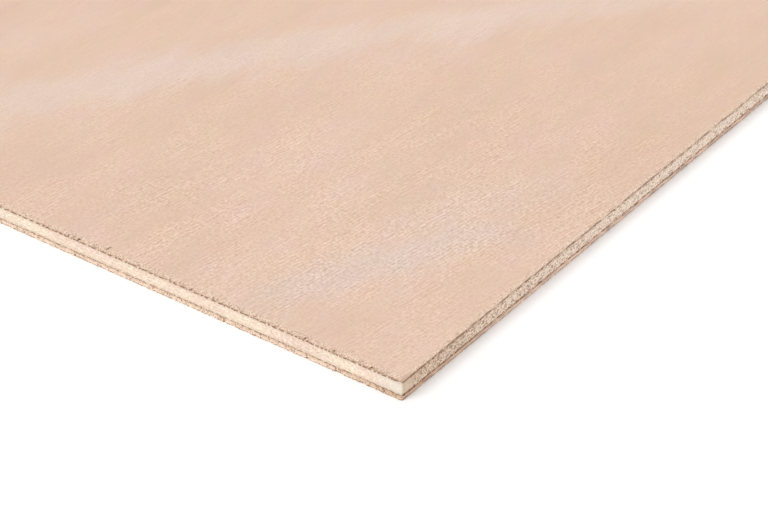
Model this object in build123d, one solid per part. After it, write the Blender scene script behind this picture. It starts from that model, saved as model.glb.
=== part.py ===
from build123d import *
import os

# Three-ply plywood sheet, sawn to a standard size. Millimetres, +Z up.
#
# X runs along the long side, the way the grain of the two outer veneers runs. Y runs along
# the short side, the way the grain of the core runs. The origin is under the middle of the
# sheet, on the surface that it lies on.
#
# A real sheet is pressed first and trimmed afterwards, so the model is made in that order:
# one panel is sawn to size, and the glue lines then part it into its veneers. That keeps the
# sawn edges of all the veneers flush, whichever size is changed.

# Sheet as it is sold
sheet_length = 2440.0
sheet_width = 1220.0

# Lay-up, from the underside to the face
back_thickness = 0.95
core_thickness = 2.35
face_thickness = 0.30

# Sawn edges
arris_ease = 0.10        # the saw and handling take this much off the long arrises
corner_radius = 0.40     # wear of the four upright corners
glue_line_depth = 0.07   # how far the glue lines lie back from the sawn edge
glue_line_width = 0.12   # height of the open line between two veneers

# Each veneer's name and thickness, in the order in which they are laid up
layup = [
    ("back_veneer", back_thickness),
    ("core_veneer", core_thickness),
    ("face_veneer", face_thickness),
]
sheet_thickness = sum(thickness for name, thickness in layup)

# Places in a list of faces sorted by height
lowest = 0
highest = -1


def pressed_panel():
    """The trimmed panel: the sawn outline at full thickness, with its arrises eased."""
    outline = RectangleRounded(sheet_length, sheet_width, corner_radius)
    panel = extrude(outline, sheet_thickness)
    faces_by_height = panel.faces().sort_by(Axis.Z)
    arrises = faces_by_height[lowest].edges() + faces_by_height[highest].edges()
    return chamfer(arrises, arris_ease)


def veneer_of(panel, bottom, top):
    """The part of the panel between two heights, as one veneer."""
    veneer = panel
    if bottom > 0:
        veneer = split(veneer, bisect_by=Plane.XY.offset(bottom), keep=Keep.TOP)
    if top < sheet_thickness:
        veneer = split(veneer, bisect_by=Plane.XY.offset(top), keep=Keep.BOTTOM)
    return veneer


def set_back_at_glue_line(veneer, glued_face):
    """Takes the veneer's edge back round its lowest or highest face, which is glued."""
    joint = veneer.faces().sort_by(Axis.Z)[glued_face]
    return chamfer(joint.edges(), glue_line_depth, glue_line_width / 2, reference=joint)


def build_sheet():
    """All veneers by name, each in its place in the sheet."""
    panel = pressed_panel()
    veneers = {}
    bottom = 0.0
    for name, thickness in layup:
        top = bottom + thickness
        veneer = veneer_of(panel, bottom, top)
        if bottom > 0:
            veneer = set_back_at_glue_line(veneer, lowest)
        if top < sheet_thickness:
            veneer = set_back_at_glue_line(veneer, highest)
        veneers[name] = veneer
        bottom = top
    return veneers


os.makedirs("parts", exist_ok=True)
for node_name, solid in build_sheet().items():
    export_step(solid, f"parts/{node_name}.step")
    size = solid.bounding_box().size
    print(f"{node_name}: {size.X:.2f} x {size.Y:.2f} x {size.Z:.2f} mm, {solid.volume:.0f} mm3")
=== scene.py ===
"""Looks of a thin three-ply plywood sheet: its sawn edges, its veneers and a plain studio stage.

Laid out as an add-on and run as a script. Positions are in metres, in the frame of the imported
model: X along the sheet and the grain of its face, Y across it, Z up.
"""

import math
from types import SimpleNamespace
from typing import NamedTuple

import bmesh
import bpy
from mathutils import Matrix, Vector


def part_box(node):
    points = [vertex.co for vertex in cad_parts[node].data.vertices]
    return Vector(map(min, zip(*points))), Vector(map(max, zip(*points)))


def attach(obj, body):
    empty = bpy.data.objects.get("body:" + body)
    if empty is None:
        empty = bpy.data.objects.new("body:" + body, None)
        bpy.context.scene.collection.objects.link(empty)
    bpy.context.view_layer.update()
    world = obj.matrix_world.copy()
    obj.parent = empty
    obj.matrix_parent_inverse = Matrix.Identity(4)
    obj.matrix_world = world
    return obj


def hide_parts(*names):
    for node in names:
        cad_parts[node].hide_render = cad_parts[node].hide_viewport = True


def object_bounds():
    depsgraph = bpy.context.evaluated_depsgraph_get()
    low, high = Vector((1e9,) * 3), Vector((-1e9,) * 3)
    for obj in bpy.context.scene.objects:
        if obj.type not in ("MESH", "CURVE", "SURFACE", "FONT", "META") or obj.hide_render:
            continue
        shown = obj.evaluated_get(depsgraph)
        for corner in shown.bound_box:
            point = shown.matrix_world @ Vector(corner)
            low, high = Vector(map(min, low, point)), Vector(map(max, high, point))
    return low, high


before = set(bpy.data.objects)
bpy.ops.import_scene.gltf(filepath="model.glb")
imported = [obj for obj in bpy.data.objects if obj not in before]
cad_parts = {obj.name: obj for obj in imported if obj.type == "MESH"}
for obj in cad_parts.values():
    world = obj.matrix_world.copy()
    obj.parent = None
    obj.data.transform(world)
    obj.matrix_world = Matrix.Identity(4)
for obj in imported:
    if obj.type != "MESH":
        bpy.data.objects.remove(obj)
cad_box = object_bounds()

bl_info = {
    "name": "Plywood sheet",
    "version": (1, 0, 0),
    "blender": (4, 5, 0),
    "location": "3D View > Sidebar > Plywood",
    "description": "Dresses a thin plywood sheet: veneers, glue lines, sawn edges and a stage",
    "category": "Object",
}

MM = 0.001

# The photographed corner is where both X and Y are lowest
SHEET_LOW, SHEET_HIGH = cad_box
CORE_LOW, CORE_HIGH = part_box("core_veneer")
LOWER_GLUE_LINE = CORE_LOW.z
UPPER_GLUE_LINE = CORE_HIGH.z
NEAR_CORNER_IN_MM = (SHEET_LOW.x / MM, SHEET_LOW.y / MM, 0.0)

PHOTO_WIDTH = 768
PHOTO_HEIGHT = 518
SENSOR_WIDTH = 36.0


def tone(red, green, blue):
    """A colour as it looks on screen, 0 to 255, as the linear values that Blender works in."""
    def linear(level):
        share = level / 255
        return share / 12.92 if share <= 0.04045 else ((share + 0.055) / 1.055) ** 2.4
    return (linear(red), linear(green), linear(blue))


def colour_property(name, description, default):
    """A colour without alpha."""
    return bpy.props.FloatVectorProperty(
        name=name, description=description, default=default, size=3, min=0.0, max=1.0,
        subtype="COLOR")


def number_property(**kind):
    """A maker of number properties of one kind."""
    def made(name, description, default):
        return bpy.props.FloatProperty(name=name, description=description, default=default, **kind)
    return made


length_property = number_property(min=0.0, unit="LENGTH", precision=6)
share_property = number_property(min=0.0, max=1.0, subtype="FACTOR")
angle_property = number_property(unit="ROTATION")
power_property = number_property(min=0.0, unit="POWER")
pixel_property = number_property(subtype="PIXEL")


class SawnEdgeSizes(bpy.types.PropertyGroup):
    """Sizes of the sawn edges, all round the sheet."""

    corner_radius: length_property("Corner radius", "Wear of the four upright corners", 0.40 * MM)
    arris_ease: length_property(
        "Arris ease", "What the long arrises of both faces have lost", 0.10 * MM)
    glue_depth: length_property(
        "Glue line depth", "How far the glue lines lie back from the sawn edge", 0.07 * MM)
    glue_height: length_property(
        "Glue line height", "Height of the open line between two veneers", 0.12 * MM)
    near_step: length_property(
        "Near step", "Distance between points of the edge by the photographed corner", 0.13 * MM)
    plain_step: length_property(
        "Plain step", "Distance between points of the edge by the other corners", 0.6 * MM)
    coarse_step: length_property(
        "Coarse step", "Distance between points of the edge half way along a side", 4.0 * MM)
    fine_reach: length_property("Fine reach", "How far from a corner its own step goes on", 130.0 * MM)
    fibre_width: length_property(
        "Fibre width", "Width of the bundles of fibres that the saw tears out", 0.36 * MM)
    torn_reach: length_property("Torn reach", "How far in from the edge the torn strip ends", 1.6 * MM)
    tear_depth: length_property(
        "Tear depth", "How far the most torn bundle lies back from the edge", 0.16 * MM)
    tear_drop: length_property(
        "Tear drop", "How much lower the arris lies at the most torn bundle", 0.12 * MM)
    chip_width: length_property("Chip width", "Usual width of the chips along a torn edge", 1.8 * MM)
    chip_depth: length_property(
        "Chip depth", "How much deeper the fibres are torn in a chip", 0.35 * MM)
    waver: length_property("Waver", "How far the saw wanders", 0.05 * MM)
    end_grain_size: length_property("End grain size", "Size of the lumps of sawn end grain", 0.35 * MM)
    end_grain_depth: length_property(
        "End grain depth", "Height of the lumps of sawn end grain", 0.06 * MM)
    splinter_spacing: length_property(
        "Splinter spacing", "Usual distance between two splinters", 0.7 * MM)
    splinter_length: length_property("Splinter length", "Length of the longest splinters", 0.9 * MM)
    splinter_width: length_property("Splinter width", "Width of the thickest splinters", 0.10 * MM)


class WoodFinish(bpy.types.PropertyGroup):
    """Colours of the veneers and the glue."""

    face_tan: colour_property("Face", "Face veneer", tone(229, 198, 176))
    face_deep: colour_property("Figure", "Darker figure in the face", tone(220, 185, 161))
    face_pale: colour_property("Streak", "Pale streaks across the face", tone(228, 204, 190))
    face_side: colour_property("Face edge", "Face veneer sawn along its grain", tone(236, 206, 183))
    face_pink: colour_property("Face tint", "Pinker parts of the face", tone(230, 199, 180))
    pore_brown: colour_property("Pores", "Colour in the pores", tone(180, 144, 118))
    end_light: colour_property("Face end", "Light end grain of the face", tone(234, 208, 186))
    end_dark: colour_property("Face end pits", "Dark end grain of the face", tone(194, 163, 139))
    core_cream: colour_property("Core", "Long grain of the core", tone(246, 226, 204))
    core_pink: colour_property("Core tint", "Pinker parts of the core", tone(243, 218, 199))
    core_end: colour_property("Core end", "End grain of the core", tone(255, 235, 216))
    core_end_dark: colour_property("Core end pits", "Dark end grain of the core", tone(186, 146, 123))
    back_tan: colour_property("Back", "Back veneer", tone(226, 194, 172))
    back_end: colour_property("Back end", "Light end grain of the back", tone(252, 227, 204))
    back_end_dark: colour_property("Back end pits", "Dark end grain of the back", tone(168, 131, 105))
    handled: colour_property("Handled", "Core rubbed pale by the corners", tone(234, 226, 212))
    rubbed: colour_property("Rubbed", "End grain rubbed smooth at the corners", tone(229, 204, 178))
    # Painted shade on the outer veneers' sawn edges by the corners; on the core's end grain, a darker
    # tone by the corners
    shade_and_darkening: colour_property("Soiled", "What handling takes from the edges", tone(226, 219, 209))
    fuzz: colour_property("Fuzz", "Fresh torn fibres", tone(248, 228, 206))
    # Also the colour of the painted contact shade along the lower arris
    glue_and_shade_brown: colour_property("Glue", "Glue lines", tone(126, 80, 50))
    roughness: share_property("Roughness", "Roughness of the sanded face", 0.62)


class StageLook(bpy.types.PropertyGroup):
    """Floor, light and camera."""

    floor_size: length_property("Floor size", "Side of the square floor", 240.0)
    floor_colour: colour_property("Floor", "Colour of the floor", (0.86, 0.86, 0.86))
    floor_glow: share_property(
        "Floor glow", "What the camera sees added to the floor, to make it white", 0.17)
    sky_strength: power_property("Sky strength", "Strength of the even white light", 0.63)
    key_strength: power_property("Key strength", "Strength of the main lamp", 1.50)
    key_azimuth: angle_property(
        "Key azimuth", "Side that the main lamp stands on, from +X to +Y", math.radians(158.0))
    key_height: angle_property(
        "Key height", "Height of the main lamp above the horizon", math.radians(48.0))
    fill_strength: power_property("Fill strength", "Strength of the low second lamp", 0.50)
    fill_azimuth: angle_property(
        "Fill azimuth", "Side that the second lamp stands on, from +X to +Y", math.radians(262.0))
    fill_height: angle_property(
        "Fill height", "Height of the second lamp above the horizon", math.radians(12.0))
    lamp_softness: angle_property("Lamp softness", "Angle that each lamp fills", math.radians(30.0))
    corner_distance: length_property(
        "Camera distance", "Depth of the photographed corner in front of the camera", 0.3436)
    corner_column: pixel_property("Corner column", "Column of the corner in the photograph", 402.2)
    corner_row: pixel_property("Corner row", "Row of the corner in the photograph", 383.3)
    focal_pixels: pixel_property("Focal length", "Focal length of the photograph", 2400.0)
    view_turn: angle_property(
        "View turn", "Angle from the view's right to the long edge", math.radians(53.61))
    view_drop: angle_property(
        "View drop", "How far the camera looks below the horizon", math.radians(33.74))


class Value:
    """What a node gives out. Arithmetic with it adds more nodes to the same graph."""

    def __init__(self, graph, socket):
        self.graph = graph
        self.socket = socket

    def __add__(self, other):
        return self.graph.math("ADD", self, other)

    def __sub__(self, other):
        return self.graph.math("SUBTRACT", self, other)

    def __rsub__(self, other):
        return self.graph.math("SUBTRACT", other, self)

    def __mul__(self, other):
        return self.graph.math("MULTIPLY", self, other)

    def __truediv__(self, other):
        return self.graph.math("DIVIDE", self, other)

    def __rtruediv__(self, other):
        return self.graph.math("DIVIDE", other, self)

    def __abs__(self):
        return self.graph.math("ABSOLUTE", self)

    def ramp(self, low, high, to_low=0.0, to_high=1.0):
        """The value eased from one span to another, and held at its ends."""
        feeds = {"Value": self, "From Min": low, "From Max": high, "To Min": to_low, "To Max": to_high}
        return self.graph.get("ShaderNodeMapRange", feeds, interpolation_type="SMOOTHSTEP")


class Graph:
    """Adds nodes to one node tree and joins their sockets."""

    def __init__(self, tree):
        self.tree = tree

    def add(self, kind, feeds=None, **settings):
        """A new node, with its settings made and its inputs fed, by name or by number."""
        node = self.tree.nodes.new(kind)
        for name, value in settings.items():
            setattr(node, name, value)
        for key, source in (feeds or {}).items():
            source = getattr(source, "socket", source)
            if isinstance(source, bpy.types.NodeSocket):
                self.tree.links.new(source, node.inputs[key])
            else:
                node.inputs[key].default_value = source
        return node

    def get(self, kind, feeds=None, output=0, **settings):
        """What a new node gives out."""
        return Value(self, self.add(kind, feeds, **settings).outputs[output])

    def math(self, operation, *values):
        """One step of arithmetic."""
        return self.get("ShaderNodeMath", dict(enumerate(values)), operation=operation)

    def larger(self, first, second):
        """The larger of two numbers."""
        return self.math("MAXIMUM", first, second)

    def vector(self, operation, *values, output=0):
        """One step of vector arithmetic."""
        return self.get("ShaderNodeVectorMath", dict(enumerate(values)), output, operation=operation)

    def scaled(self, vector, factor):
        """A vector times a number."""
        return self.get("ShaderNodeVectorMath", {0: vector, "Scale": factor}, operation="SCALE")

    def length(self, vector):
        """The length of a vector."""
        return self.vector("LENGTH", vector, output=1)

    def turned(self, place, angle):
        """A place turned about the upright axis."""
        feeds = {"Vector": place, "Angle": angle}
        return self.get("ShaderNodeVectorRotate", feeds, rotation_type="Z_AXIS")

    def parts(self, vector):
        """X, Y and Z of a vector."""
        node = self.add("ShaderNodeSeparateXYZ", {0: vector})
        return [Value(self, socket) for socket in node.outputs]

    def join(self, x, y, z):
        """A vector of three numbers."""
        return self.get("ShaderNodeCombineXYZ", {0: x, 1: y, 2: z})

    def noise(self, place, scale=1.0, detail=2.0, roughness=0.5):
        """Soft noise, about 0.5."""
        feeds = {"Vector": place, "Scale": scale, "Detail": detail, "Roughness": roughness}
        return self.get("ShaderNodeTexNoise", feeds)

    def line_noise(self, place, scale, detail):
        """Soft noise along a line, about 0.5."""
        feeds = {"W": place, "Scale": scale, "Detail": detail}
        return self.get("ShaderNodeTexNoise", feeds, noise_dimensions="1D")

    def blend(self, factor, first, second, kind="MIX"):
        """Two colours mixed by a factor."""
        factor_socket, first_socket, second_socket, result = 0, 6, 7, 2
        feeds = {factor_socket: factor, first_socket: opaque(first), second_socket: opaque(second)}
        return self.get("ShaderNodeMix", feeds, result, data_type="RGBA", blend_type=kind)

    def shaded(self, colour, light):
        """A colour times a number."""
        return self.blend(1.0, colour, self.join(light, light, light), "MULTIPLY")

    def flecked(self, colour, light):
        """A colour with whitish flecks and dark pits: a number added to red, green and blue."""
        return self.blend(1.0, colour, self.join(light, light, light), "ADD")

    def pattern(self, build, place, **sizes):
        """A shared group's value at a place, for the sizes that the group takes."""
        feeds = {label(key): size for key, size in sizes.items()}
        return self.get("ShaderNodeGroup", {"Position": place, **feeds}, node_tree=shared(build))


SHARED = {}


def shared(build):
    """A node tree that is used more than once, built when it is first asked for."""
    if build not in SHARED:
        SHARED[build] = build()
    return SHARED[build]


def opaque(colour):
    """A plain colour gets its alpha. What a node gives out stays as it is."""
    return colour if isinstance(colour, Value) else (*colour, 1.0)


def label(key):
    """The name of a tree's input as its nodes show it: Half width for half_width."""
    return key.replace("_", " ").capitalize()


NUMBER = "NodeSocketFloat"


def new_tree(name, kind, inputs, output):
    """The graph of a new node tree and what it is given, by the keys of its inputs."""
    tree = bpy.data.node_groups.new(name, kind)
    for key, socket_kind in inputs.items():
        tree.interface.new_socket(name=label(key), in_out="INPUT", socket_type=socket_kind)
    tree.interface.new_socket(name="Result", in_out="OUTPUT", socket_type=output)
    graph = Graph(tree)
    sockets = graph.add("NodeGroupInput").outputs
    return graph, SimpleNamespace(**{key: Value(graph, sockets[label(key)]) for key in inputs})


def shader_group(name, **numbers):
    """A new shader group, which takes a position and some numbers and gives out a number."""
    inputs = {"position": "NodeSocketVector", **dict.fromkeys(numbers, NUMBER)}
    graph, given = new_tree(name, "ShaderNodeTree", inputs, NUMBER)
    for key, default in numbers.items():
        graph.tree.interface.items_tree[label(key)].default_value = default
    return graph, given


def geometry_group(name, *numbers):
    """A new geometry-nodes tree, which takes a geometry, some numbers and a material."""
    geometry = "NodeSocketGeometry"
    inputs = {"geometry": geometry, **dict.fromkeys(numbers, NUMBER), "material": "NodeSocketMaterial"}
    return new_tree(name, "GeometryNodeTree", inputs, geometry)


def ended(graph, value):
    """The node tree of a graph, which gives out the value."""
    graph.add("NodeGroupOutput", {0: value})
    return graph.tree


def stretched(graph, given, seed_step):
    """A group's position in lengths and widths of its pattern, moved on by its seed."""
    size = graph.join(given.length, given.width, given.width)
    place = graph.vector("DIVIDE", given.position, size)
    return graph.vector("ADD", place, graph.scaled(seed_step, given.seed))


def fibre_group():
    """Soft streaks of a given length and width along the first axis, from 0 to 1."""
    graph, given = shader_group("Wood fibre", length=1.0, width=1.0, detail=2.0, seed=0.0)
    place = stretched(graph, given, (17.3, 5.1, 9.7))
    return ended(graph, graph.noise(place, detail=given.detail, roughness=0.55))


def pore_group():
    """Short dashes along the first axis: 1 in a dash and 0 beside it."""
    graph, given = shader_group("Pore dashes", length=2.0, width=0.2, rareness=0.66, seed=0.0)
    noise = graph.noise(stretched(graph, given, (3.9, 21.7, 11.3)), detail=0.0)
    return ended(graph, noise.ramp(given.rareness, given.rareness + 0.09))


def glue_line_group():
    """A thin broken line at one height, in steps and dashes: 1 on the line and 0 off it."""
    graph, given = shader_group("Glue line", level=0.0, half_width=0.08, dash=2.0, wander=0.25,
                                gaps=0.38, seed=0.0)
    x, y, height = graph.parts(given.position)
    run = (x + y) / given.dash + given.seed * 7.7
    steps = graph.line_noise(run, 1.0, 4.0)
    breaks = graph.line_noise(run + 40.0, 1.3, 3.0)
    ragged = graph.line_noise(run + 80.0, 7.0, 1.0)
    off_line = abs(height - given.level + (steps - 0.5) * given.wander)
    reach = given.half_width * ragged.ramp(0.3, 0.7, 0.7, 1.6)
    line = off_line.ramp(reach * 0.5, reach, 1.0, 0.0)
    whole = breaks.ramp(given.gaps, given.gaps + 0.16, 0.05, 1.0)
    return ended(graph, line * whole)


def brush_group():
    """Fine lines along the first axis, nearly evenly spaced and here and there broken: -1 to 1."""
    graph, given = shader_group("Brush lines", spacing=0.66, seed=0.0)
    place = given.position
    _, y, _ = graph.parts(place)
    warp = graph.pattern(fibre_group, place, length=7.0, width=1.6, seed=given.seed)
    breaks = graph.pattern(fibre_group, place, length=2.2, width=0.5, detail=1.0,
                           seed=given.seed + 1.0)
    phase = y / given.spacing + warp * 2.0
    wave = graph.math("SINE", phase * math.tau)
    return ended(graph, wave * breaks.ramp(0.38, 0.60, 0.1, 1.0))


def speckle_group():
    """Sawn end grain: soft lumps with small pits, from 0 to 1."""
    graph, given = shader_group("End grain", size=0.4, patchiness=0.35, seed=0.0)
    place = graph.vector("ADD", given.position, graph.scaled((4.3, 8.9, 15.1), given.seed))
    grains = graph.noise(place, scale=1.0 / given.size)
    patches = graph.noise(place, scale=0.3 / given.size)
    mixed = grains * (1.0 - given.patchiness) + patches * given.patchiness
    return ended(graph, mixed.ramp(0.33, 0.53))


def streak_group():
    """A long soft patch across the grain: 1 in its middle, fading out all round."""
    graph, given = shader_group("Pale streak", centre_x=0.0, centre_y=0.0, turn=0.0, length=80.0,
                                width=12.0, bow=0.0)
    place = given.position
    centre = graph.join(given.centre_x, given.centre_y, 0.0)
    from_centre = graph.vector("SUBTRACT", place, centre)
    along, across, _ = graph.parts(graph.turned(from_centre, given.turn))
    along = abs(along / given.length)
    across = (across + along * along * given.bow) / given.width
    coarse = graph.pattern(fibre_group, place, length=22.0, width=7.0)
    ragged = graph.pattern(fibre_group, place, length=5.0, width=0.7, detail=3.0)
    across = across + (coarse * 1.1 + ragged * 0.7 - 0.9)
    end = graph.math("POWER", along, 4.0)
    distance = graph.math("SQRT", end + across * across)
    return ended(graph, distance.ramp(0.18, 0.66, 1.0, 0.0))


def new_material(name):
    """An empty node material."""
    material = bpy.data.materials.new(name)
    material.use_nodes = True
    material.node_tree.nodes.clear()
    return material


def place_in_mm(graph):
    """The place on the sheet, in millimetres."""
    return graph.scaled(graph.get("ShaderNodeTexCoord", output="Object"), 1 / MM)


RELIEF_HEIGHT = 0.02 * MM
WOOD_IOR = 1.45
WOOD_SPECULAR = 0.25


def end_material(graph, colour, roughness, height):
    """The shader of a wood material, with its fine relief."""
    bump = graph.get("ShaderNodeBump", {"Height": height, "Distance": RELIEF_HEIGHT, "Strength": 1.0})
    shader = graph.get("ShaderNodeBsdfPrincipled",
                       {"Base Color": colour, "Roughness": roughness, "Normal": bump,
                        "IOR": WOOD_IOR, "Specular IOR Level": WOOD_SPECULAR})
    graph.add("ShaderNodeOutputMaterial", {"Surface": shader})


class Wood(Graph):
    """The graph of one veneer's material, with what its parts go by. Lengths are in millimetres."""

    def __init__(self, name, finish):
        self.material = new_material(name)
        super().__init__(self.material.node_tree)
        self.finish = finish
        self.place = place_in_mm(self)
        self.x, self.y, self.z = self.parts(self.place)
        self.from_short_edge = SHEET_HIGH.x / MM - abs(self.x)
        self.from_long_edge = SHEET_HIGH.y / MM - abs(self.y)
        normal_x, _, normal_z = self.parts(self.get("ShaderNodeNewGeometry", output="Normal"))
        # How far the surface faces along the sheet, and how far it faces up or down
        self.along = abs(normal_x).ramp(0.45, 0.75)
        self.flat = abs(normal_z).ramp(0.75, 0.95)
        self.upright = 1.0 - self.flat

    def fibre(self, length, width, detail=2.0, seed=0.0, place=None):
        """Soft streaks along the grain, by the place on the sheet or by another one."""
        return self.pattern(fibre_group, place or self.place, length=length, width=width,
                            detail=detail, seed=seed)


# Pale streaks beside the photographed corner, in millimetres from it: middle along X and Y,
# turn in degrees, length, width, bow of the ends and strength, then how much lighter they are
NEAR_STREAKS = (
    ((66.0, 74.5, 34.7, 112.0, 14.0, 8.0, 0.84), 0.035),
    ((23.0, 21.5, 26.0, 36.0, 11.0, 7.0, 0.90), -0.015),
    ((46.0, 19.0, 34.0, 27.0, 12.0, 10.0, 0.42), 0.0),
)
# Slightly darker patches there, given in the same way
NEAR_SHADES = (
    (86.0, 20.0, 8.0, 55.0, 60.0, 0.0, 0.40),
    (12.0, 68.0, 80.0, 42.0, 22.0, 0.0, 0.30),
    (48.0, 128.0, 35.0, 60.0, 25.0, 0.0, 0.45),
    (12.0, 8.0, 10.0, 26.0, 16.0, 0.0, 0.35),
)
# Small dark ticks there: middle along X and Y, turn in degrees, length and strength
NEAR_TICKS = (
    (0.95, 57.0, 14.0, 0.80, 0.90),
    (1.65, 10.1, 12.0, 0.50, 0.35),
    (0.35, 42.0, 10.0, 0.50, 0.60),
)
TICK_WIDTH = 0.18
# How far the loose streaks and the fine grain lean from the sheet's length
STREAK_LEAN = math.radians(30.0)
GRAIN_LEAN = math.radians(8.0)
# How quickly the figure's contour bands follow each other up a hill
CONTOUR_RATE = 85.0


def near_patch(wood, near, sizes):
    """One long soft patch beside the photographed corner, at its strength."""
    centre_x, centre_y, turn, length, width, bow, strength = sizes
    mask = wood.pattern(streak_group, near, centre_x=centre_x, centre_y=centre_y,
                        turn=math.radians(turn), length=length, width=width, bow=bow)
    return mask * strength


def face_streaks(wood, near, reach):
    """Pale streaks, by the photographed corner and loose over the rest, and their lightness."""
    total = 0.0
    lightness = 1.0
    for sizes, lift in NEAR_STREAKS:
        streak = near_patch(wood, near, sizes)
        total = wood.larger(total, streak)
        lightness = streak * lift + lightness
    slanted = wood.turned(wood.place, STREAK_LEAN)
    loose = wood.fibre(length=300.0, width=24.0, seed=3.0, place=slanted)
    loose = loose.ramp(0.53, 0.68) * reach.ramp(170.0, 320.0, 0.0, 0.75)
    return wood.larger(total, loose), lightness


def face_figure(wood, near, reach, seed):
    """Wide rotary-cut figure: contour bands stretched along the grain, fainter by the corner."""
    hills = wood.fibre(length=1500.0, width=210.0, detail=1.0, seed=seed)
    bands = wood.math("SINE", hills * CONTOUR_RATE).ramp(-0.7, 1.0)
    bands = bands * reach.ramp(130.0, 450.0, 0.10, 0.85)
    soft = wood.fibre(length=90.0, width=14.0, detail=3.0, seed=seed + 1)
    figure = soft.ramp(0.35, 0.70) * 0.40 + bands
    for sizes in NEAR_SHADES:
        figure = figure + near_patch(wood, near, sizes)
    return figure


def dark_ticks(wood, near):
    """The few dark ticks that the face has beside the photographed corner."""
    total = 0.0
    for centre_x, centre_y, turn, length, strength in NEAR_TICKS:
        offset = wood.vector("SUBTRACT", near, (centre_x, centre_y, 0.0))
        x, y, _ = wood.parts(wood.turned(offset, math.radians(turn)))
        distance = wood.length(wood.join(x / length, y / TICK_WIDTH, 0.0))
        total = wood.larger(total, distance.ramp(0.5, 1.0, strength, 0.0))
    return total


def clouded(wood, colour, seed):
    """A colour with faint clouds of pink and of yellow in it."""
    rosy = wood.fibre(length=5.0, width=4.0, seed=seed)
    warm = wood.fibre(length=9.0, width=6.0, seed=seed + 1)
    rosy = wood.scaled((0.5, -0.5, 0.5), rosy * 0.05 - 0.025)
    warm = wood.scaled((0.3, 0.0, -0.7), warm * 0.07 - 0.035)
    return wood.blend(1.0, colour, wood.vector("ADD", rosy, warm), "ADD")


def rim_fuzz(wood, colour, seed):
    """Light and dark ticks of torn fibre on the broad side, along all its edges."""
    crossed = wood.from_short_edge.ramp(0.0, 1.9, 1.0, 0.0)
    sawn_along = wood.from_long_edge.ramp(0.05, 1.3, 0.75, 0.0)
    near_rim = wood.larger(crossed, sawn_along)
    light = wood.pattern(pore_group, wood.place, length=0.5, width=0.18, rareness=0.52, seed=seed)
    dark = wood.pattern(pore_group, wood.place, length=0.35, width=0.17, rareness=0.57, seed=seed + 1)
    colour = wood.blend(light * near_rim, colour, wood.finish.fuzz)
    # The dirty tip is five times as long as it is wide
    tip = wood.join(wood.from_short_edge / 5.0, wood.from_long_edge, 0.0)
    dirty_tip = wood.length(tip).ramp(0.15, 0.9, 0.65, 0.0)
    dark = wood.larger(dark * near_rim * 0.8, dirty_tip)
    return wood.blend(dark, colour, wood.finish.pore_brown)


def grain_strength(wood, reach):
    """How strong the fine grain is: clear near the photographed corner, calm in a belt beyond."""
    clear = reach.ramp(10.0, 50.0, 0.70, 1.0) * reach.ramp(50.0, 120.0, 1.30, 0.30)
    return wood.larger(clear, reach.ramp(180.0, 320.0))


def broad_side(wood, tan, seed):
    """Colour, roughness and relief of an outer veneer's sanded side, with its grain along X."""
    finish = wood.finish
    near = wood.vector("SUBTRACT", wood.place, NEAR_CORNER_IN_MM)
    reach = wood.length(near)
    tint = wood.fibre(length=45.0, width=18.0, detail=3.0, seed=seed + 7)
    colour = wood.blend(tint.ramp(0.34, 0.68), tan, finish.face_pink)
    streaks, lightness = face_streaks(wood, near, reach)
    colour = wood.blend(streaks, colour, finish.face_pale)
    figure = face_figure(wood, near, reach, seed)
    colour = wood.blend(figure * 0.5, colour, finish.face_deep)
    wide = wood.fibre(length=9.0, width=0.7, seed=seed + 3)
    patches = wood.fibre(length=14.0, width=6.0, seed=seed + 4)
    light = tint * 0.06 + (wide * 0.05 + (patches * 0.10 + 0.891))
    colour = clouded(wood, wood.shaded(colour, light * lightness), seed + 11)
    slanted = wood.turned(wood.place, GRAIN_LEAN)
    lines = wood.pattern(brush_group, slanted, seed=seed + 2)
    grains = wood.fibre(length=0.50, width=0.48, detail=1.0, seed=seed + 8, place=slanted)
    depth = streaks * 0.16 + patches.ramp(0.35, 0.65, 0.16, 0.38)
    relief = (lines * 0.12 + (grains * 0.8 - 0.40)) * grain_strength(wood, reach)
    colour = wood.flecked(colour, relief * depth)
    pores = wood.pattern(pore_group, wood.place, length=2.4, width=0.13, seed=seed + 5)
    colour = wood.blend(pores * 0.10, colour, finish.pore_brown)
    colour = rim_fuzz(wood, colour, seed + 6)
    colour = wood.blend(dark_ticks(wood, near), colour, finish.glue_and_shade_brown)
    roughness = grains.ramp(0.2, 0.8, finish.roughness - 0.05, finish.roughness + 0.05)
    return colour, roughness, pores * -0.25 + relief * 0.35


def outer_veneer_edge(wood, tones, seed):
    """Colour and relief of the sawn edge of a face or back veneer, with painted shade by the corners.
    """
    end_light, end_dark, side_tan = tones
    bundles = wood.pattern(speckle_group, wood.place, size=0.28, seed=seed)
    streaks = wood.fibre(length=2.2, width=0.24, seed=seed + 1)
    # Painted shade: the end grain gets darker towards the tips of the short edges, by the corners
    beyond_tip_shade = wood.from_long_edge.ramp(1.0, 14.0)
    end = wood.blend(bundles, end_dark, end_light)
    end = wood.blend(1.0 - beyond_tip_shade, end, wood.finish.shade_and_darkening, "MULTIPLY")
    # Painted shade: the side grain gets darker towards the corners
    shade_and_darkening = wood.from_short_edge.ramp(5.0, 30.0, 0.9, 0.0)
    side = wood.shaded(side_tan, streaks.ramp(0.36, 0.62, 0.64, 1.26))
    side = wood.blend(shade_and_darkening, side, wood.finish.shade_and_darkening, "MULTIPLY")
    return wood.blend(wood.along, side, end), bundles + streaks


class GlueJoint(NamedTuple):
    """One glue joint's height and its dark line, in millimetres and shares."""

    seed: float
    level: float
    # On the short edges: half the width of the line and how far it lies below the joint
    ragged_half_width: float
    lowering: float
    # On the long edges: the line's dashes, by the corners and far from them, and the soaked wood
    dash: float
    wander: float
    gaps: float
    strength: float
    far_strength: float
    soaking: float


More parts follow.
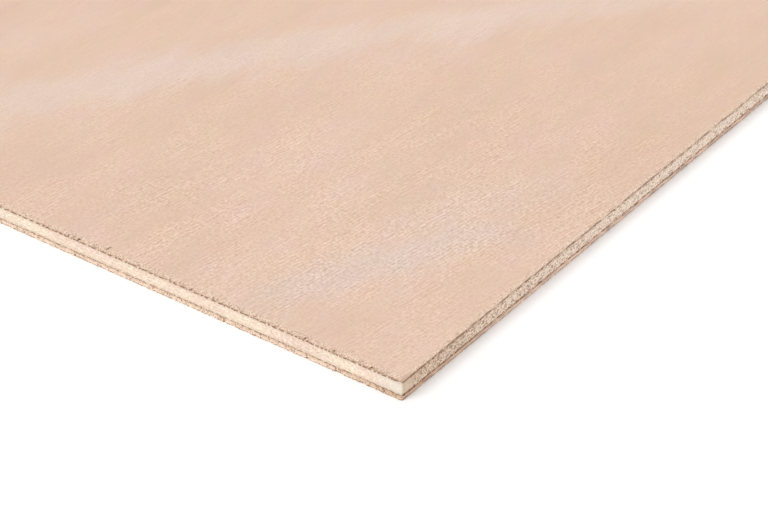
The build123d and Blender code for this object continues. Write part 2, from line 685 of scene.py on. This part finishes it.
UPPER_JOINT = GlueJoint(
    seed=1.0, level=UPPER_GLUE_LINE / MM, ragged_half_width=0.115, lowering=0.09, dash=3.0,
    wander=0.30, gaps=0.38, strength=0.80, far_strength=0.66, soaking=0.80)
LOWER_JOINT = GlueJoint(
    seed=2.0, level=LOWER_GLUE_LINE / MM, ragged_half_width=0.105, lowering=-0.01, dash=1.6,
    wander=0.50, gaps=0.42, strength=1.0, far_strength=0.95, soaking=0.45)


def glue_lines(wood, colour, joints):
    """Dark broken glue lines and soaked wood over a colour.

    Both veneers beside a joint get the same line. It is ragged where the outer veneers are cut
    across their grain, and runs in long steps along it, without a break by the corners.
    """
    crushed = wood.from_short_edge.ramp(0.0, 9.0, 0.24, 0.14)
    unbroken = wood.from_short_edge.ramp(1.5, 4.5, 0.70, 0.0)
    for joint in joints:
        ragged = wood.pattern(glue_line_group, wood.place, level=joint.level - joint.lowering,
                              half_width=joint.ragged_half_width, dash=0.9, wander=0.30,
                              seed=joint.seed)
        stepped = wood.pattern(glue_line_group, wood.place, level=joint.level, half_width=crushed,
                               dash=joint.dash, wander=joint.wander, gaps=joint.gaps,
                               seed=joint.seed + 5.0)
        strength = wood.from_short_edge.ramp(30.0, 90.0, joint.strength, joint.far_strength)
        off_line = abs(wood.z - joint.level)
        plain_line = off_line.ramp(0.08, 0.26, 1.0, 0.0) * unbroken
        stepped = wood.larger(stepped * strength, plain_line)
        line = wood.get("ShaderNodeMix", {"Factor": wood.along, "A": stepped, "B": ragged * 0.95})
        soaked_depth = wood.along.ramp(0.0, 1.0, joint.soaking, 0.80)
        soaked = off_line.ramp(0.0, soaked_depth, 0.22, 0.0)
        brown = wood.larger(line, soaked) * wood.upright
        colour = wood.blend(brown, colour, wood.finish.glue_and_shade_brown)
    return colour


def arris_contact_shade(wood, colour):
    """Painted contact shade along the lower arris, in dashes on the edges cut across the grain."""
    # A dark dashed line at the lower arris, painted in place of the shadow where the sheet meets what
    # it lies on
    contact_shade = wood.pattern(glue_line_group, wood.place, level=SHEET_LOW.z / MM + 0.05, half_width=0.15,
                        dash=1.1, wander=0.20, seed=19.0)
    contact_shade = contact_shade * wood.along.ramp(0.0, 1.0, 0.75, 0.80) * wood.upright
    return wood.blend(contact_shade, colour, wood.finish.glue_and_shade_brown)


def outer_veneer_material(name, finish, tan, tones, joint, seed):
    """Face or back veneer: its sanded side, its sawn edge, the glue line beside it and painted shade
    along its lower arris.
    """
    wood = Wood(name, finish)
    broad_colour, roughness, broad_height = broad_side(wood, tan, seed)
    edge_colour, edge_height = outer_veneer_edge(wood, tones, seed + 10.0)
    colour = glue_lines(wood, wood.blend(wood.flat, edge_colour, broad_colour), [joint])
    height = wood.flat * broad_height + wood.upright * edge_height
    end_material(wood, arris_contact_shade(wood, colour), roughness, height)
    return wood.material


def core_long_grain(wood, grain, streaks):
    """Colour of the core where it is sawn along its grain."""
    finish = wood.finish
    patches = wood.fibre(length=11.0, width=3.0, seed=12.0, place=grain)
    specks = wood.fibre(length=0.5, width=0.22, detail=1.0, seed=15.0, place=grain)
    colour = wood.blend(patches.ramp(0.42, 0.60), finish.core_cream, finish.core_pink)
    colour = wood.shaded(colour, streaks.ramp(0.25, 0.75, 0.91, 1.03))
    colour = wood.flecked(colour, specks * 0.70 - 0.35)
    return wood.blend(wood.from_long_edge.ramp(0.5, 7.0, 0.60, 0.0), colour, finish.handled)


def core_end_grain(wood, pits):
    """Colour of the core where it is sawn across its grain."""
    finish = wood.finish
    from_corner = wood.from_short_edge
    dashes = wood.fibre(length=2.4, width=0.30, seed=14.0)
    rare = wood.pattern(pore_group, wood.place, length=0.5, width=0.24, rareness=0.62, seed=16.0)
    light = (pits - 0.85) * from_corner.ramp(10.0, 70.0, 1.45, 0.78) + 0.90
    colour = wood.blend(light, finish.core_end_dark, finish.core_end)
    colour = wood.shaded(colour, dashes.ramp(0.34, 0.62, 0.95, 1.07))
    colour = wood.blend(rare * 0.6, colour, finish.glue_and_shade_brown)
    # Darker towards the corners, and more towards the top of the core than its bottom
    shade_and_darkening = from_corner.ramp(8.0, 28.0, 0.64, 0.0) + from_corner.ramp(20.0, 80.0, 0.25, 0.0)
    shade_and_darkening = shade_and_darkening * wood.z.ramp(CORE_LOW.z / MM, CORE_HIGH.z / MM, 0.72, 1.0)
    colour = wood.blend(shade_and_darkening, colour, finish.shade_and_darkening, "MULTIPLY")
    return wood.blend(from_corner.ramp(0.9, 4.5, 0.85, 0.0), colour, finish.rubbed)


def core_material(finish):
    """Core veneer: smooth long grain on the short edges, speckled end grain on the long ones."""
    wood = Wood("core veneer wood", finish)
    grain = wood.join(wood.y, wood.x, wood.z)
    streaks = wood.fibre(length=9.0, width=0.20, detail=3.0, seed=11.0, place=grain)
    pits = wood.pattern(speckle_group, wood.place, size=0.22, patchiness=0.15, seed=13.0)
    end = core_end_grain(wood, pits)
    side = core_long_grain(wood, grain, streaks)
    colour = wood.blend(wood.along, end, side)
    colour = glue_lines(wood, colour, [UPPER_JOINT, LOWER_JOINT])
    height = pits * ((1.0 - wood.along) * 2.0) + streaks
    end_material(wood, colour, pits.ramp(0.0, 1.0, 0.85, 0.70), height)
    return wood.material


def splinter_material(finish):
    """Fresh torn fibres, lighter than the sanded wood."""
    material = new_material("torn fibre")
    graph = Graph(material.node_tree)
    tint = graph.pattern(speckle_group, place_in_mm(graph), size=0.8, seed=31.0)
    colour = graph.blend(tint, finish.pore_brown, finish.fuzz)
    end_material(graph, colour, tint.ramp(0.0, 1.0, 0.8, 0.7), tint)
    return material


# How much the step between two points grows with the way past the fine reach
STEP_GROWTH = 0.02


def graded_steps(run, first_step, last_step, sizes):
    """Distances along one side: fine near both corners and coarse half way."""
    def from_corner(fine_step):
        distances = []
        travelled = 0.0
        while travelled < run / 2:
            distances.append(travelled)
            beyond = max(0.0, travelled - sizes.fine_reach)
            travelled += min(sizes.coarse_step, fine_step + beyond * STEP_GROWTH)
        return distances

    return from_corner(first_step) + [run - distance for distance in reversed(from_corner(last_step))]


ARC_STEPS = 6


def outline_stations(sizes):
    """Points round the sawn outline with their outward directions, from the photographed corner."""
    radius = sizes.corner_radius
    low = Vector((SHEET_LOW.x + radius, SHEET_LOW.y + radius, 0.0))
    high = Vector((SHEET_HIGH.x - radius, SHEET_HIGH.y - radius, 0.0))
    centres = (low, Vector((high.x, low.y, 0.0)), high, Vector((low.x, high.y, 0.0)))
    steps = (sizes.near_step, sizes.plain_step, sizes.plain_step, sizes.plain_step)
    quarter = math.pi / 2
    stations = []
    for side, centre in enumerate(centres):
        after = (side + 1) % len(centres)
        outward = Vector((0.0, -1.0, 0.0))
        outward.rotate(Matrix.Rotation(side * quarter, 3, "Z"))
        ahead = (centres[after] - centre).normalized()
        run = (centres[after] - centre).length
        for distance in graded_steps(run, steps[side], steps[after], sizes):
            stations.append((centre + ahead * distance + outward * radius, outward.copy()))
        for step in range(1, ARC_STEPS):
            turned = outward.copy()
            turned.rotate(Matrix.Rotation(step / ARC_STEPS * quarter, 3, "Z"))
            stations.append((centres[after] + turned * radius, turned))
    return stations


# Where the middle of a rounded arris lies, as a share of its ease
ARRIS_MIDDLE = 0.3


def veneer_rows(low, high, sizes, side_rows, glued_below, glued_above):
    """The rim's section from the underside up: (inset, height, drop) of each row.

    The drop is 1 where torn fibres take the arris upwards, -1 where they take it downwards.
    """
    half_glue = sizes.glue_height / 2
    ease = sizes.arris_ease
    middle = ease * ARRIS_MIDDLE
    broad = (sizes.torn_reach, sizes.torn_reach * 0.5, sizes.torn_reach * 0.25)
    if glued_below:
        lower = [(sizes.torn_reach, low, 0), (sizes.glue_depth, low, 0), (0.0, low + half_glue, 0)]
    else:
        lower = [(inset, low, 0) for inset in broad]
        lower += [(ease, low, 1), (middle, low + middle, 1), (0.0, low + ease, 1)]
    if glued_above:
        upper = [(0.0, high - half_glue, 0), (sizes.glue_depth, high, 0), (sizes.torn_reach, high, 0)]
    else:
        upper = [(0.0, high - ease, -1), (middle, high - middle, -1), (ease, high, -1)]
        upper += [(inset, high, 0) for inset in reversed(broad)]
    side_low = lower[-1][1]
    rise = (upper[0][1] - side_low) / side_rows
    return lower + [(0.0, side_low + rise * row, 0) for row in range(1, side_rows)] + upper


def held_between(value, low, high):
    """A number no lower than low and no higher than high."""
    return min(max(value, low), high)


def rim_ring(bm, stations, inset, height):
    """Points all round at one inset and height. They meet in one point where a corner is tight."""
    made = {}
    ring = []
    for place, outward in stations:
        inner = place - outward * inset
        x = held_between(inner.x, SHEET_LOW.x + inset, SHEET_HIGH.x - inset)
        y = held_between(inner.y, SHEET_LOW.y + inset, SHEET_HIGH.y - inset)
        key = (round(x, 7), round(y, 7))
        if key not in made:
            made[key] = bm.verts.new((x, y, height))
        ring.append(made[key])
    return ring


def add_face(bm, points, upward=True):
    """A face of its different points, or none where fewer than three are left."""
    plain = list(dict.fromkeys(points))
    if len(plain) > 2:
        bm.faces.new(plain if upward else plain[::-1])


CAP_STRIDE = 16
CAP_INSET = 8.0 * MM


def add_cap(bm, stations, loop, upward):
    """Closes a loop with a ring of wide faces and one broad polygon inside it."""
    inner = rim_ring(bm, stations[::CAP_STRIDE], CAP_INSET, loop[0].co.z)
    closed = loop + loop[:1]
    for number, point in enumerate(inner):
        outer = closed[number * CAP_STRIDE:(number + 1) * CAP_STRIDE + 1]
        after = inner[(number + 1) % len(inner)]
        add_face(bm, outer + [after, point], upward)
    add_face(bm, inner, upward)


def mesh_of(name, bm):
    """A mesh of what has been built so far, which ends the building."""
    mesh = bpy.data.meshes.new(name)
    bm.to_mesh(mesh)
    bm.free()
    return mesh


RIM_NUMBERS = ("follow", "cross_cut", "side", "drop")


def rim_mesh(name, rows, stations, grain_along_x):
    """A closed veneer: rows of points all round, with a broad polygon above and below.

    Each point keeps its outward direction, how much of a tear it follows and drops, and whether
    the saw crossed the grain there.
    """
    count = len(stations)
    inner_inset = max(inset for inset, _, _ in rows)
    bm = bmesh.new()
    outward_layer = bm.verts.layers.float_vector.new("outward")
    layers = {key: bm.verts.layers.float.new(key) for key in RIM_NUMBERS}
    loops = []
    for inset, height, drop in rows:
        loop = rim_ring(bm, stations, inset, height)
        for point, (_, outward) in zip(loop, stations):
            point[outward_layer] = outward
            point[layers["follow"]] = 1.0 - inset / inner_inset
            point[layers["cross_cut"]] = abs(outward.x) if grain_along_x else abs(outward.y)
            point[layers["side"]] = 1.0 if inset == 0.0 else 0.0
            point[layers["drop"]] = drop
        loops.append(loop)
    for lower, upper in zip(loops, loops[1:]):
        for here in range(count):
            after = (here + 1) % count
            add_face(bm, [lower[here], lower[after], upper[after], upper[here]])
    add_cap(bm, stations, loops[0], upward=False)
    add_cap(bm, stations, loops[-1], upward=True)
    return mesh_of(name, bm)


def painted(graph, geometry, material):
    """Ends a tree: real geometry, with its material."""
    real = graph.get("GeometryNodeRealizeInstances", {"Geometry": geometry})
    return ended(graph, graph.get("GeometryNodeSetMaterial", {"Geometry": real, "Material": material}))


def named_attribute(graph, name, kind="FLOAT"):
    """A named attribute of the points."""
    return graph.get("GeometryNodeInputNamedAttribute", {"Name": name}, "Attribute", data_type=kind)


def sawn_edge_tree():
    """Tears and roughens a veneer's sawn rim, going by the attributes of its points."""
    graph, given = geometry_group("Sawn edge", "fibre_width", "tear_depth", "tear_drop", "chip_width",
                                  "chip_depth", "waver", "grain_size", "grain_depth", "seed")
    place = graph.get("GeometryNodeInputPosition")
    outward = named_attribute(graph, "outward", "FLOAT_VECTOR")
    follow, cross, side, drop = [named_attribute(graph, name) for name in RIM_NUMBERS]
    x, y, _ = graph.parts(place)
    run = x + y

    bundle = run / given.fibre_width + given.seed
    torn = graph.get("ShaderNodeTexWhiteNoise", {"W": graph.math("FLOOR", bundle)},
                     noise_dimensions="1D")
    torn = torn * torn
    zone = run / given.chip_width + given.seed
    chips = graph.line_noise(zone, 1.0, 2.0).ramp(0.55, 0.70)
    across = (torn * given.tear_depth + chips * torn * given.chip_depth) * cross
    wander = graph.line_noise(zone, 0.7, 4.0) * given.waver
    inward = (across + wander) * follow

    size = given.grain_size
    lumps = graph.noise(graph.vector("DIVIDE", place, graph.join(size, size, size)))
    lump = (lumps - 0.5) * given.grain_depth * side * (cross * 0.8 + 0.2)

    offset = graph.scaled(outward, lump - inward)
    down = torn * given.tear_drop * drop * cross
    offset = graph.vector("ADD", offset, graph.join(0.0, 0.0, down))
    moved = graph.get("GeometryNodeSetPosition", {"Geometry": given.geometry, "Offset": offset})
    return painted(graph, moved, given.material)


def splinter_tree():
    """Scatters torn slivers of fibre along lines, each a thin pointed cone that points outwards."""
    graph, given = geometry_group("Splinters", "spacing", "length", "width", "lift", "spread", "seed")
    seed = graph.math("ROUND", given.seed)
    curve = graph.get("GeometryNodeMeshToCurve", {"Mesh": given.geometry})
    points = graph.get("GeometryNodeResampleCurve", {"Curve": curve, "Length": given.spacing},
                       mode="LENGTH")

    def random_number(low, high, number):
        low_socket, high_socket, result = 2, 3, 1
        feeds = {low_socket: low, high_socket: high, "Seed": seed + number}
        return graph.get("FunctionNodeRandomValue", feeds, result, data_type="FLOAT")

    shift = given.spacing * random_number(-0.5, 0.5, 1)
    points = graph.get("GeometryNodeSetPosition",
                       {"Geometry": points, "Offset": graph.join(0.0, shift, 0.0)})
    x, _, _ = graph.parts(graph.get("GeometryNodeInputPosition"))
    outward = graph.math("SIGN", x) * random_number(-0.4, 1.0, 2)
    sideways = given.spread * random_number(-1.0, 1.0, 3)
    upwards = given.lift * random_number(0.1, 1.0, 4)
    turn = graph.get("FunctionNodeAlignRotationToVector",
                     {"Vector": graph.join(outward, sideways, upwards)}, axis="Z")
    slight = given.width * random_number(0.4, 1.0, 5)
    shortness = random_number(0.0, 1.0, 6)
    tall = given.length * (shortness * shortness * 0.8 + 0.2)
    cone = graph.get("GeometryNodeMeshCone",
                     {"Vertices": 4, "Radius Top": 0.1, "Radius Bottom": 0.5, "Depth": 1.0})
    slivers = graph.get("GeometryNodeInstanceOnPoints",
                        {"Points": points, "Instance": cone, "Rotation": turn,
                         "Scale": graph.join(slight, slight, tall)})
    return painted(graph, slivers, given.material)


def place_object(name, data):
    """A new object in the scene, at the origin."""
    made = bpy.data.objects.new(name, data)
    bpy.context.scene.collection.objects.link(made)
    return made


def baked(name, mesh, build, **values):
    """A new object with the mesh that a geometry-nodes tree makes of a plain one."""
    piece = place_object(name, mesh)
    modifier = piece.modifiers.new(name, "NODES")
    modifier.node_group = shared(build)
    inputs = modifier.node_group.interface.items_tree
    for key, value in values.items():
        modifier[inputs[label(key)].identifier] = value
    bpy.context.view_layer.update()
    evaluated = piece.evaluated_get(bpy.context.evaluated_depsgraph_get())
    made = bpy.data.meshes.new_from_object(evaluated)
    piece.modifiers.remove(modifier)
    for key in ("outward",) + RIM_NUMBERS:
        if key in made.attributes:
            made.attributes.remove(made.attributes[key])
    made.name = name
    piece.data = made
    return piece


def dress_veneer(context, node, material, side_rows, tearing, seed):
    """One veneer with its sawn rim, in the place of its plain solid.

    Tearing is the share of the usual tears that its fibres show, or nothing for the core.
    """
    sizes = context.scene.plywood_edges
    low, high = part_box(node)
    glued_below = low.z > SHEET_LOW.z + sizes.arris_ease
    glued_above = high.z < SHEET_HIGH.z - sizes.arris_ease
    rows = veneer_rows(low.z, high.z, sizes, side_rows, glued_below, glued_above)
    name = node + "_sawn"
    plain = rim_mesh(name, rows, outline_stations(sizes), grain_along_x=node != "core_veneer")
    piece = baked(
        name, plain, sawn_edge_tree, fibre_width=sizes.fibre_width,
        tear_depth=sizes.tear_depth * tearing, tear_drop=sizes.tear_drop * tearing,
        chip_width=sizes.chip_width, chip_depth=sizes.chip_depth * tearing, waver=sizes.waver,
        grain_size=sizes.end_grain_size, grain_depth=sizes.end_grain_depth, seed=seed,
        material=material)
    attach(piece, "root")
    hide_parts(node)


# How far the roots of the splinters lie in from the short edges, and from their ends
SPLINTER_INSET = 0.05 * MM
SPLINTER_MARGIN = 1.0 * MM


def add_splinters(sizes, name, material, height, lift, share, seed):
    """Slivers of torn fibre along both short edges, at one height."""
    bm = bmesh.new()
    for side in (-1, 1):
        x = side * (SHEET_HIGH.x - SPLINTER_INSET)
        ends = [bm.verts.new((x, y * (SHEET_HIGH.y - SPLINTER_MARGIN), height)) for y in (-1, 1)]
        bm.edges.new(ends)
    piece = baked(
        name, mesh_of(name, bm), splinter_tree, spacing=sizes.splinter_spacing,
        length=sizes.splinter_length * share, width=sizes.splinter_width, lift=lift, spread=0.7,
        seed=seed, material=material)
    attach(piece, "root")


class PLYWOOD_OT_face_veneer(bpy.types.Operator):
    """Make the face veneer, with its sanded side and its torn arris"""

    bl_idname = "plywood.face_veneer"
    bl_label = "Face veneer"

    def execute(self, context):
        finish = context.scene.plywood_finish
        tones = (finish.end_light, finish.end_dark, finish.face_side)
        material = outer_veneer_material(
            "face veneer wood", finish, finish.face_tan, tones, UPPER_JOINT, seed=1.0)
        dress_veneer(context, "face_veneer", material, side_rows=2, tearing=1.0, seed=5.3)
        return {"FINISHED"}


class PLYWOOD_OT_core_veneer(bpy.types.Operator):
    """Make the core veneer, with long grain on the short edges and end grain on the long ones"""

    bl_idname = "plywood.core_veneer"
    bl_label = "Core veneer"

    def execute(self, context):
        material = core_material(context.scene.plywood_finish)
        dress_veneer(context, "core_veneer", material, side_rows=9, tearing=0.0, seed=2.1)
        return {"FINISHED"}


class PLYWOOD_OT_back_veneer(bpy.types.Operator):
    """Make the back veneer, which lies on the floor"""

    bl_idname = "plywood.back_veneer"
    bl_label = "Back veneer"

    def execute(self, context):
        finish = context.scene.plywood_finish
        tones = (finish.back_end, finish.back_end_dark, finish.back_tan)
        material = outer_veneer_material(
            "back veneer wood", finish, finish.back_tan, tones, LOWER_JOINT, seed=21.0)
        dress_veneer(context, "back_veneer", material, side_rows=4, tearing=0.6, seed=8.7)
        return {"FINISHED"}


class PLYWOOD_OT_splinters(bpy.types.Operator):
    """Make the torn fibres along the edges that are cut across the grain"""

    bl_idname = "plywood.splinters"
    bl_label = "Splinters"

    def execute(self, context):
        sizes = context.scene.plywood_edges
        material = splinter_material(context.scene.plywood_finish)
        add_splinters(sizes, "face_splinters", material,
                      height=SHEET_HIGH.z - sizes.arris_ease, lift=1.2, share=1.0, seed=3)
        add_splinters(sizes, "back_splinters", material,
                      height=SHEET_LOW.z + sizes.arris_ease * 1.5, lift=0.3, share=0.7, seed=7)
        return {"FINISHED"}


class PLYWOOD_OT_stage(bpy.types.Operator):
    """Make the floor, the light and the camera"""

    bl_idname = "plywood.stage"
    bl_label = "Stage"

    def execute(self, context):
        look = context.scene.plywood_stage
        make_floor(look)
        make_light(context, look)
        make_camera(context, look)
        context.scene.view_settings.view_transform = "Standard"
        return {"FINISHED"}


def seen_directly(graph):
    """1 where the camera sees a surface, straight or in gloss or glass, and 0 for its light."""
    rays = graph.add("ShaderNodeLightPath").outputs
    seen = graph.larger(rays["Is Camera Ray"], rays["Is Glossy Ray"])
    return graph.larger(seen, rays["Is Transmission Ray"])


def make_floor(look):
    """A wide pale floor that the camera sees as white, with the sheet's shadow on it."""
    drop = 0.01 * MM
    bm = bmesh.new()
    bmesh.ops.create_grid(bm, x_segments=1, y_segments=1, size=look.floor_size / 2)
    bmesh.ops.translate(bm, verts=bm.verts, vec=(0.0, 0.0, SHEET_LOW.z - drop))
    mesh = mesh_of("floor", bm)
    floor = place_object("floor", mesh)
    material = new_material("floor paint")
    graph = Graph(material.node_tree)
    paint = graph.get("ShaderNodeBsdfDiffuse", {"Color": opaque(look.floor_colour)})
    glow = graph.get("ShaderNodeEmission", {"Strength": seen_directly(graph) * look.floor_glow})
    both = graph.get("ShaderNodeAddShader", {0: paint, 1: glow})
    graph.add("ShaderNodeOutputMaterial", {"Surface": both})
    mesh.materials.append(material)


def make_lamp(name, strength, softness, azimuth, height):
    """A far lamp that shines from one side and height."""
    lamp = bpy.data.lights.new(name, "SUN")
    lamp.energy = strength
    lamp.angle = softness
    made = place_object(name, lamp)
    towards = Vector((math.cos(azimuth) * math.cos(height), math.sin(azimuth) * math.cos(height),
                      math.sin(height)))
    made.rotation_mode = "QUATERNION"
    made.rotation_quaternion = towards.to_track_quat("Z", "Y")


def make_light(context, look):
    """Even light from all round, a wide soft lamp and a low one that fills the shaded side."""
    world = bpy.data.worlds.new("studio")
    context.scene.world = world
    world.use_nodes = True
    world.node_tree.nodes.clear()
    graph = Graph(world.node_tree)
    strength = seen_directly(graph).ramp(0.0, 1.0, look.sky_strength, 1.0)
    sky = graph.get("ShaderNodeBackground", {"Color": opaque((1.0, 1.0, 1.0)), "Strength": strength})
    graph.add("ShaderNodeOutputWorld", {"Surface": sky})
    make_lamp("key", look.key_strength, look.lamp_softness, look.key_azimuth, look.key_height)
    make_lamp("fill", look.fill_strength, look.lamp_softness, look.fill_azimuth, look.fill_height)


def make_camera(context, look):
    """A camera that sees the photographed corner where the photograph has it."""
    cos_turn, sin_turn = math.cos(look.view_turn), math.sin(look.view_turn)
    cos_drop, sin_drop = math.cos(look.view_drop), math.sin(look.view_drop)
    right = Vector((cos_turn, -sin_turn, 0.0))
    level_ahead = Vector((sin_turn, cos_turn, 0.0))
    ahead = level_ahead * cos_drop - Vector((0.0, 0.0, sin_drop))
    up = right.cross(ahead)
    corner = Vector((SHEET_LOW.x, SHEET_LOW.y, UPPER_GLUE_LINE))
    column = (look.corner_column - PHOTO_WIDTH / 2) / look.focal_pixels
    row = (look.corner_row - PHOTO_HEIGHT / 2) / look.focal_pixels
    camera_data = bpy.data.cameras.new("camera")
    camera_data.sensor_width = SENSOR_WIDTH
    camera_data.lens = look.focal_pixels / PHOTO_WIDTH * SENSOR_WIDTH
    camera_data.clip_start = 0.01
    camera_data.clip_end = 500.0
    camera = place_object("camera", camera_data)
    camera.location = corner - (ahead + right * column - up * row) * look.corner_distance
    camera.rotation_mode = "QUATERNION"
    camera.rotation_quaternion = Matrix((right, up, -ahead)).transposed().to_quaternion()
    context.scene.camera = camera


class PLYWOOD_PT_sheet(bpy.types.Panel):
    """The sheet's steps, in order"""

    bl_idname = "PLYWOOD_PT_sheet"
    bl_label = "Plywood sheet"
    bl_space_type = "VIEW_3D"
    bl_region_type = "UI"
    bl_category = "Plywood"

    def draw(self, context):
        for operator in OPERATORS:
            self.layout.operator(operator.bl_idname)
        for key, kind in SETTINGS.items():
            box = self.layout.box()
            for name in kind.__annotations__:
                box.prop(getattr(context.scene, key), name)


OPERATORS = (
    PLYWOOD_OT_face_veneer,
    PLYWOOD_OT_core_veneer,
    PLYWOOD_OT_back_veneer,
    PLYWOOD_OT_splinters,
    PLYWOOD_OT_stage,
)
SETTINGS = {"plywood_edges": SawnEdgeSizes, "plywood_finish": WoodFinish, "plywood_stage": StageLook}
CLASSES = (*SETTINGS.values(), *OPERATORS, PLYWOOD_PT_sheet)


def register():
    for made_class in CLASSES:
        bpy.utils.register_class(made_class)
    for key, kind in SETTINGS.items():
        setattr(bpy.types.Scene, key, bpy.props.PointerProperty(type=kind))


def unregister():
    for key in SETTINGS:
        delattr(bpy.types.Scene, key)
    for made_class in reversed(CLASSES):
        bpy.utils.unregister_class(made_class)


def main():
    register()
    bpy.ops.plywood.face_veneer()
    bpy.ops.plywood.core_veneer()
    bpy.ops.plywood.back_veneer()
    bpy.ops.plywood.splinters()
    bpy.ops.plywood.stage()


if __name__ == "__main__":
    main()
